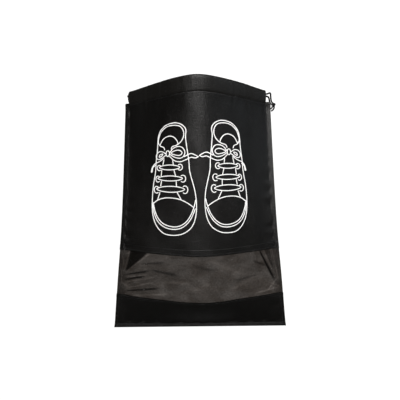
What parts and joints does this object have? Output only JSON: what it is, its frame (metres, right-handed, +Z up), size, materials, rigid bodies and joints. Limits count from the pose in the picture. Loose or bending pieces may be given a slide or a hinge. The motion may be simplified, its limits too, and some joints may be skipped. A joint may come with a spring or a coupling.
{
  "type": "shoe bag",
  "caption": "Flat black non-woven shoe bag with a clear window band, a printed pair of shoes and a drawstring mouth, lying open.",
  "frame": {"origin": "middle of the underside's box, on the surface that the bag lies on", "axes": "+X across the bag, +Y from the bottom seam to the mouth, +Z up from the surface, through the printed front"},
  "size_m": [0.32, 0.4399, 0.1211],
  "materials": {
    "black_nonwoven": "matte, point bonded",
    "clear_film": "clear, soft gloss, wrinkled",
    "black_thread": "polyester sewing thread",
    "white_ink": "screen print",
    "black_cord": "braided polyester"
  },
  "bodies": {
    "bag": {"back_panel": "black_nonwoven", "front_lower_panel": "black_nonwoven", "window_film": "clear_film", "front_upper_panel": "black_nonwoven", "front_casing": "black_nonwoven", "back_casing": "black_nonwoven", "front_casing_thread": "black_thread", "back_casing_thread": "black_thread", "window_top_thread": "black_thread", "window_bottom_thread": "black_thread", "bottom_seam_thread": "black_thread", "left_side_thread": "black_thread", "right_side_thread": "black_thread", "print_left_shoe": "white_ink", "print_right_shoe": "white_ink", "cord_front_run": "black_cord", "cord_back_run": "black_cord", "cord_left_turn": "black_cord"},
    "drawstring": {"cord_front_strand": "black_cord", "cord_back_strand": "black_cord", "cord_knot": "black_cord", "cord_front_tail": "black_cord", "cord_back_tail": "black_cord"}
  },
  "joints": [
    {"name": "drawstring_pull", "type": "slide", "parent": "bag", "child": "drawstring", "axis": [1, 0, 0], "range_m": [0, 0.12]}
  ]
}
